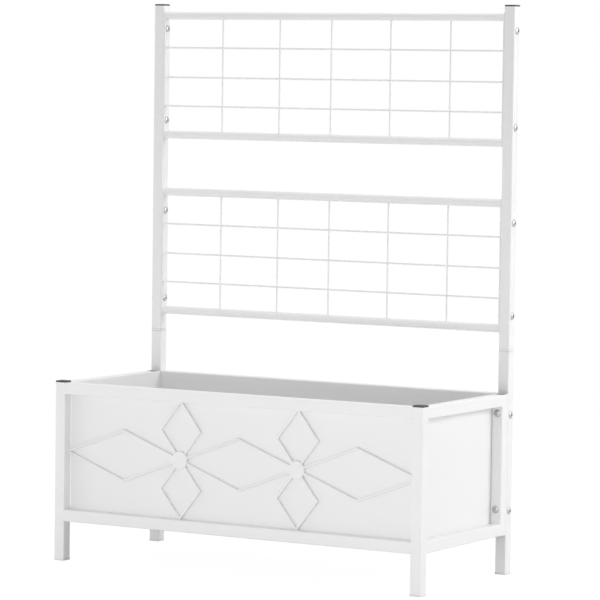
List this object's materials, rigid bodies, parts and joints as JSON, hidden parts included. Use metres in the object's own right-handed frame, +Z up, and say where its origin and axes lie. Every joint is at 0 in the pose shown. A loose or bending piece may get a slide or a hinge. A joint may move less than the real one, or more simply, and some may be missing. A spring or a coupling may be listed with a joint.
{
  "type": "planter with trellis",
  "caption": "Rectangular steel planter box on four legs with a diamond ornament on its front and a tall two-panel wire trellis at the back for climbing plants.",
  "frame": {"origin": "on the floor, at the middle of the four legs", "axes": "+X to the right seen from the front, +Y to the back where the trellis stands, +Z up"},
  "size_m": [0.9074, 0.4043, 1.2035],
  "materials": {
    "white_steel": "satin white powder coat",
    "white_sheet": "satin white powder coat on sheet steel",
    "zinc_steel": "zinc plated",
    "dark_plastic": "matt moulded plastic",
    "white_plastic": "matt moulded plastic"
  },
  "bodies": {
    "root": {"back_bottom_rail": "white_steel", "back_panel": "white_sheet", "back_side_strips": "white_steel", "back_top_rail": "white_steel", "base_cross_bars": "white_steel", "base_pan": "white_sheet", "centre_wide_rhombus": "white_steel", "foot_plugs": "white_plastic", "front_bottom_rail": "white_steel", "front_left_post": "white_steel", "front_panel": "white_sheet", "front_post_caps": "dark_plastic", "front_right_post": "white_steel", "front_top_rail": "white_steel", "left_rear_upright": "white_steel", "left_side_bottom_rail": "white_steel", "left_side_panel": "white_sheet", "left_side_top_rail": "white_steel", "left_trellis_post_lower": "white_steel", "left_trellis_post_upper": "white_steel", "left_wide_rhombus": "white_steel", "lower_left_small_rhombus": "white_steel", "lower_right_small_rhombus": "white_steel", "lower_trellis_bottom_rail": "white_steel", "lower_trellis_level_wires": "white_steel", "lower_trellis_side_strips": "white_steel", "lower_trellis_top_rail": "white_steel", "lower_trellis_upright_wires": "white_steel", "ornament_discs": "white_steel", "panel_bolts": "zinc_steel", "panel_nuts": "zinc_steel", "post_joiners": "white_steel", "rear_upright_plugs": "dark_plastic", "right_rear_upright": "white_steel", "right_side_bottom_rail": "white_steel", "right_side_panel": "white_sheet", "right_side_top_rail": "white_steel", "right_trellis_post_lower": "white_steel", "right_trellis_post_upper": "white_steel", "right_wide_rhombus": "white_steel", "side_bolts": "zinc_steel", "side_nuts": "zinc_steel", "trellis_post_caps": "dark_plastic", "upper_left_small_rhombus": "white_steel", "upper_right_small_rhombus": "white_steel", "upper_trellis_bottom_rail": "white_steel", "upper_trellis_level_wires": "white_steel", "upper_trellis_side_strips": "white_steel", "upper_trellis_top_rail": "white_steel", "upper_trellis_upright_wires": "white_steel", "upright_bolts": "zinc_steel", "upright_nuts": "zinc_steel"}
  },
  "joints": []
}
